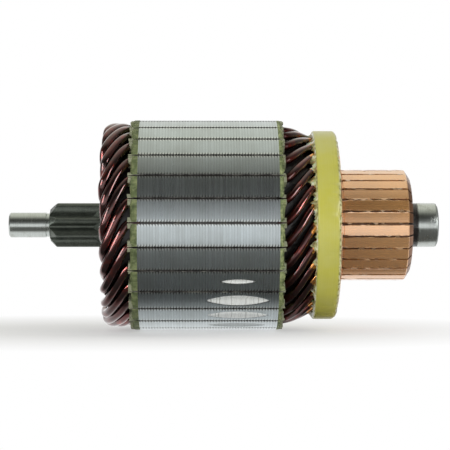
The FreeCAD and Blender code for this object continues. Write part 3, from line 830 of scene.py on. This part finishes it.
def commutator_bar(seed):
    """One bar at angle zero with its riser, turned track and edge burrs, each burr with a share of painted
    highlight.
    """
    step_x = riser_out_x + 1.5 * mm
    start = step_x + 0.2 * mm
    outline = [(bars_low.x, bar_base_r), (bars_low.x, riser_r), (riser_out_x - 0.1 * mm, riser_r),
               (riser_out_x, riser_r - 0.1 * mm), (riser_out_x, track_r + 0.5 * mm),
               (riser_out_x + 0.15 * mm, track_r + 0.1 * mm), (riser_out_x + 0.4 * mm, track_groove_r),
               (step_x, track_groove_r)]
    step_l = (track_end_x - start) / track_steps
    outline += [(start + step_l * step, track_r) for step in range(track_steps + 1)]
    outline += [(track_end_x + 0.2 * mm, track_r - 0.15 * mm), (bars_high.x, track_r - bevel_h),
                (bars_high.x, bar_base_r)]
    bm = bmesh.new()
    side = bm.faces.new([bm.verts.new((x, radius, 0)) for x, radius in outline])
    shares = (-1, -0.83, -0.5, 0, 0.5, 0.83, 1)
    painted_burr_glint = bm.verts.layers.float.new("painted_burr_glint")
    layers = [list(side.verts)]
    for layer in range(len(shares) - 1):
        swept = bmesh.ops.extrude_face_region(bm, geom=[side], use_keep_orig=(layer == 0))
        side = picked(swept, bmesh.types.BMFace)[0]
        layers.append(picked(swept, bmesh.types.BMVert))
    for share, verts in zip(shares, layers):
        for vert in verts:
            x, radius = vert.co.x, vert.co.y
            half = pitch / 2 - math.asin(bar_gap / 2 / radius)
            angle = share * half
            if radius > track_r - 0.3 * mm and x > riser_out_x:
                radius -= bar_flatness * (1 - share ** 2)
                if abs(share) == 1:
                    under_band = x < step_x + 1.2 * mm
                    burr = -0.1 if under_band else noise.noise(Vector((x * 430, seed * 7.3, share)))
                    relief = 0.22 if under_band else 0.06
                    jagged = noise.noise(Vector((x * 2400, seed * 3.1, share * 2)))
                    angle += share * (max(0.0, burr - 0.14) * 1.8 + 0.14 * jagged - relief) * mm / track_r
                    radius += (0.05 + 0.08 * burr) * mm
                    # Share of painted highlight on this burr.
                    vert[painted_burr_glint] = 0.35 + 2.2 * burr
            vert.co = (x, radius * math.cos(angle), radius * math.sin(angle))
    return bm


turned_copper, tree, shader, place = new_finish("turned_copper", 0.65, 0.25, coat=1.0, coat_roughness=0.16)
shader["Coat IOR"].default_value = 2.8
marks = tool_marks(tree, place, 5200.0, 1.5)
tarnish = stains(tree, place, 160.0, 0.42, 0.7)
worn = use_group(tree, worn_edges, {"Place": place, "Reach": 0.15 * mm, "Breakup": 1200.0})["Worn"]
copper_tone = ramp(tree, marks, [(0.3, (0.95, 0.43, 0.12)), (0.7, (1.0, 0.52, 0.17))])
dulled = mixed(tree, times(tree, tarnish, 0.25), copper_tone, (0.55, 0.28, 0.12))
burr_glint_share = node(tree, "ShaderNodeAttribute", attribute_name="painted_burr_glint").outputs["Fac"]
# Rubbed edges (real wear) together with the burrs' painted highlight, pale and less metallic.
edges = node(tree, "ShaderNodeMath", {0: times(tree, worn, 0.5), 1: burr_glint_share}, operation="MAXIMUM",
             use_clamp=True).outputs[0]
wear_and_painted_glint = mixed(tree, edges, dulled, (1.0, 0.64, 0.36))
along = station(tree, place)
# The bevel is painted dark brown and loses its coat: painted shade for its dark reflection.
bevel_painted_shade = remap(tree, along, track_end_x + 0.15 * mm, track_end_x + 0.35 * mm, 0.0, 0.92)
tree.links.new(mixed(tree, bevel_painted_shade, wear_and_painted_glint, (0.16, 0.065, 0.03)), shader["Base Color"])
tree.links.new(remap(tree, marks, 0.3, 0.7, 0.19, 0.27), shader["Roughness"])
tree.links.new(remap(tree, edges, 0.0, 1.0, 0.65, 0.2), shader["Metallic"])
tree.links.new(math_node(tree, "SUBTRACT", 1.0, bevel_painted_shade), shader["Coat Weight"])
add_bump(tree, shader, marks, 0.3, 0.015 * mm)
bars = [turn_to(commutator_bar(bar), first_slot + (bar + 0.5) * pitch) for bar in range(slots)]
add_piece(gather(bars), "copper_bars", turned_copper, ["commutator_bars"])

# The mica and the moulding keep their own shapes: split mica bonded with shellac, and dark
# mineral-filled phenolic.
bonded_mica, tree, shader, place = new_finish("bonded_mica", 0.0, 0.6)
flakes = noise_node(tree, place, 1500.0, 4.0)
mica_tone = ramp(tree, flakes, [(0.3, (0.05, 0.022, 0.012)), (0.75, (0.20, 0.085, 0.04))])
tree.links.new(mica_tone, shader["Base Color"])
phenolic, tree, shader, place = new_finish("phenolic", 0.0, 0.45)
filler = noise_node(tree, place, 2200.0, 4.0)
phenolic_tone = ramp(tree, filler, [(0.35, (0.012, 0.009, 0.008)), (0.7, (0.035, 0.026, 0.022))])
tree.links.new(phenolic_tone, shader["Base Color"])
add_bump(tree, shader, filler, 0.4, 0.03 * mm)
dress_node("mica_separators", bonded_mica)
dress_node("commutator_moulding", phenolic)

# Band: glass roving wound wet with resin round the risers and the wire ends, then cured. Its outer
# face is turned, its far edge is a rounded bead of resin.
band_low, band_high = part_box("banding_ring")
band_r = band_high.z
band_bore_r = 31.15 * mm
band_outline = [(band_low.x, 32.6 * mm), (band_low.x, band_r - 0.5 * mm),
                (band_low.x + 0.15 * mm, band_r - 0.12 * mm), (band_low.x + 0.5 * mm, band_r),
                (band_high.x - 1.5 * mm, band_r), (band_high.x - 0.9 * mm, band_r - 0.18 * mm),
                (band_high.x - 0.45 * mm, band_r - 0.5 * mm), (band_high.x - 0.12 * mm, band_r - 1.0 * mm),
                (band_high.x, band_r - 1.5 * mm), (band_high.x, band_bore_r),
                (band_low.x + 3 * mm, band_bore_r)]
bm = turned(band_outline, closed=True, steps=280)
for vert in bm.verts:
    if vert.co.x > band_high.x - 1.2 * mm:
        ragged = noise.noise(vert.co * 420) + 0.6 * noise.noise(vert.co * 1300)
        vert.co.x -= max(0.0, 0.25 + ragged) * 0.6 * mm
        vert.co.yz *= 1 - max(0.0, ragged) * 0.012

wound_glass, tree, shader, place = new_finish("wound_glass", 0.0, 0.38, coat=0.35, coat_roughness=0.22)
roving = tool_marks(tree, place, 2600.0, 2.5)
pools = stains(tree, place, 110.0, 0.35, 0.7)
resin_tone = ramp(tree, roving, [(0.3, (0.59, 0.56, 0.080)), (0.7, (0.63, 0.60, 0.10))])
pooled = mixed(tree, times(tree, pools, 0.4), resin_tone, (0.62, 0.62, 0.25))
along = station(tree, place)
chips = noise_node(tree, place, 900.0, 3.0)
rim_tone = ramp(tree, chips, [(0.40, (0.12, 0.10, 0.04)), (0.47, (0.62, 0.60, 0.34)),
                               (0.7, (0.82, 0.80, 0.58))])
rim_share = remap(tree, along, band_high.x - 1.1 * mm, band_high.x - 0.5 * mm, 0.0, 0.85)
tree.links.new(mixed(tree, rim_share, pooled, rim_tone), shader["Base Color"])
shader["Subsurface Weight"].default_value = 0.25
shader["Subsurface Radius"].default_value = (1.0, 0.9, 0.3)
shader["Subsurface Scale"].default_value = 1.2 * mm
add_bump(tree, shader, roving, 0.12, 0.03 * mm)
add_piece(bm, "glass_band", wound_glass, ["banding_ring"], crease=50)

# Resin fringe: resin squeezed out at the band's inner edge before it cured. It sits on the wires
# and hangs in a thin torn lace between them.
fringe_wire_r = 32.0 * mm
fringe_turn = first_slot - 1.9 * pitch
fringe_heap = math.radians(131)
fringe = [(band_low.x + 0.5 * mm, band_r - 0.35 * mm), (band_low.x - 0.12 * mm, band_r - 0.75 * mm),
          (band_low.x - 0.4 * mm, band_r - 1.3 * mm), (band_low.x - 0.5 * mm, fringe_wire_r)]
bm = turned(fringe, steps=448)
for vert in bm.verts:
    reach = (band_low.x + 0.5 * mm - vert.co.x) / mm
    angle = math.atan2(vert.co.z, vert.co.y)
    lace = noise.noise(vert.co * 330) + 0.7 * noise.noise(vert.co * 1100)
    if reach > 0.95:
        heaped = 1 + 1.3 * max(0.0, math.cos(angle - fringe_heap)) ** 8
        vert.co.x -= max(-0.15, 0.1 + lace) * 2.2 * mm * heaped
        sag = 0.35 * mm * math.cos(slots * (angle - fringe_turn)) - 0.3 * mm
        vert.co.yz *= 1 + sag / vert.co.yz.length
    elif reach > 0.3:
        vert.co.x -= max(0.0, lace) * 0.5 * mm
bmesh.ops.solidify(bm, geom=bm.faces[:], thickness=0.22 * mm)
cured_resin, tree, shader, place = new_finish("cured_resin", 0.0, 0.3, coat=0.5, coat_roughness=0.1)
milky = noise_node(tree, place, 520.0, 4.0)
milky_tone = ramp(tree, milky, [(0.38, (0.24, 0.20, 0.06)), (0.50, (0.62, 0.58, 0.27)),
                                (0.62, (0.90, 0.88, 0.66))])
tree.links.new(milky_tone, shader["Base Color"])
shader["Subsurface Weight"].default_value = 0.3
shader["Subsurface Scale"].default_value = 0.6 * mm
add_piece(bm, "resin_fringe", cured_resin, crease=60)

# Floor and light: a plain pale floor that fades into a white background, a white room with a dark
# screen high in front, which gives the metal its dark bands, and three soft lamps low at the sides.
floor_z = core_low.z - 0.2 * mm
bm = bmesh.new()
floor_place = Matrix.Translation((-0.07, 0, floor_z))
bmesh.ops.create_circle(bm, cap_ends=True, radius=1.4, segments=96, matrix=floor_place)
floor_mesh = bpy.data.meshes.new("floor")
bm.to_mesh(floor_mesh)
bm.free()
floor = add_object("floor", floor_mesh)
pale_floor, tree, shader, place = new_finish("pale_floor", 0.0, 0.9, specular=0.1)
rays = tree.nodes.new("ShaderNodeLightPath").outputs
seen = math_node(tree, "MAXIMUM", math_node(tree, "MAXIMUM", rays["Is Camera Ray"], rays["Is Glossy Ray"]),
                 rays["Is Transmission Ray"])
spot = node(tree, "ShaderNodeSeparateXYZ", {"Vector": place}).outputs
beside_core = remap(tree, spot["X"], core_high.x + 3.0 * mm, core_high.x + 12.0 * mm, 0.0, 0.026)
across = math_node(tree, "SUBTRACT", spot["Y"], beside_core)
squeeze = {"Vector": place, "Location": (0.07, 0, 0), "Scale": (0.62, 1, 0)}
spread = node(tree, "ShaderNodeMapping", squeeze).outputs[0]
distance = node(tree, "ShaderNodeVectorMath", {0: spread}, operation="LENGTH").outputs["Value"]
# For reflections only, the floor under the armature is painted bright: painted light where its shadow falls.
under = times(tree, rays["Is Glossy Ray"], remap(tree, across, -0.024, -0.009, 0.0, 0.95))
far = remap(tree, distance, 0.030, 0.105, 0.42, 1.0)
# For reflections only, a dark patch on the floor in front of the armature is a painted shadow.
before = remap(tree, spot["Y"], -0.150, -0.115)
painted_floor_shadow = times(tree, rays["Is Glossy Ray"], times(tree, before, remap(tree, across, -0.018, -0.028)))
open_floor = times(tree, math_node(tree, "MAXIMUM", far, under), math_node(tree, "SUBTRACT", 1.0, painted_floor_shadow))
away = times(tree, open_floor, seen)
tree.links.new(mixed(tree, painted_floor_shadow, (0.86, 0.86, 0.86), (0.22, 0.22, 0.22)), shader["Base Color"])
white = node(tree, "ShaderNodeEmission").outputs[0]
painted = tree.nodes["Principled BSDF"].outputs[0]
blend = node(tree, "ShaderNodeMixShader", {0: away, 1: painted, 2: white}).outputs[0]
tree.links.new(blend, tree.nodes["Material Output"].inputs["Surface"])
floor_mesh.materials.append(pale_floor)

world = bpy.data.worlds.new("studio")
bpy.context.scene.world = world
world.use_nodes = True
tree = world.node_tree
way = tree.nodes.new("ShaderNodeTexCoord").outputs["Generated"]
parts = node(tree, "ShaderNodeSeparateXYZ", {"Vector": way}).outputs
to_front = times(tree, parts["Y"], -1.0)
turn = math_node(tree, "DIVIDE", math_node(tree, "ARCTAN2", parts["Z"], to_front), math.pi)
levels = [(0, 1.1, 0), (4, 1.0, 0), (11, 0.44, 0), (20, 0.17, 0.3), (32, 0.07, 0.5), (48, 0.05, 1),
          (62, 0.19, 1), (76, 0.50, 1), (97, 0.80, 1), (126, 0.86, 1), (150, 0.94, 0.5), (165, 1.0, 0),
          (180, 1.0, 0)]
sky = ramp(tree, turn, [(degrees / 180, (level, level * (1 - 0.01 * warmth), level * (1 - 0.13 * warmth)))
                        for degrees, level, warmth in levels])
sideways = math_node(tree, "ABSOLUTE", parts["X"])
walls = times(tree, remap(tree, sideways, 0.35, 0.75, 0.0, 0.8), remap(tree, parts["Y"], 0.92, 0.65))
room = mixed(tree, walls, sky, (0.1, 0.1, 0.1))
rays = tree.nodes.new("ShaderNodeLightPath").outputs
seen = math_node(tree, "MAXIMUM", rays["Is Camera Ray"], rays["Is Transmission Ray"])
tree.links.new(mixed(tree, seen, room, (1.0, 1.0, 1.0)), tree.nodes["Background"].inputs["Color"])


def soft_lamp(name, place, width, power):
    """Upright area lamp at a place, turned to the armature's middle."""
    lamp = bpy.data.lights.new(name, "AREA")
    lamp.shape = "RECTANGLE"
    lamp.size = width
    lamp.size_y = 0.4
    lamp.energy = power
    made = add_object(name, lamp)
    made.location = place
    made.rotation_euler = (middle - made.location).to_track_quat("-Z", "Y").to_euler()


middle = Vector((-0.075, 0, 0))
soft_lamp("left_lamp", (-0.66, -0.40, 0.15), 0.22, 1.9)
soft_lamp("right_lamp", (0.51, -0.40, 0.15), 0.22, 1.9)
soft_lamp("narrow_lamp", (-0.58, -0.60, 0.08), 0.06, 1.1)

# Camera: level with the shaft, as the photograph was taken, from about 0.6 m away and turned a
# little to the right.
camera_data = bpy.data.cameras.new("camera")
camera_data.lens = 133.8
camera_data.sensor_width = 36.0
camera = add_object("camera", camera_data)
camera.location = (-82.45 * mm, -608 * mm, 0)
camera.rotation_euler = (math.pi / 2, 0, -math.radians(0.92))
bpy.context.scene.camera = camera
bpy.context.scene.view_settings.view_transform = "Standard"
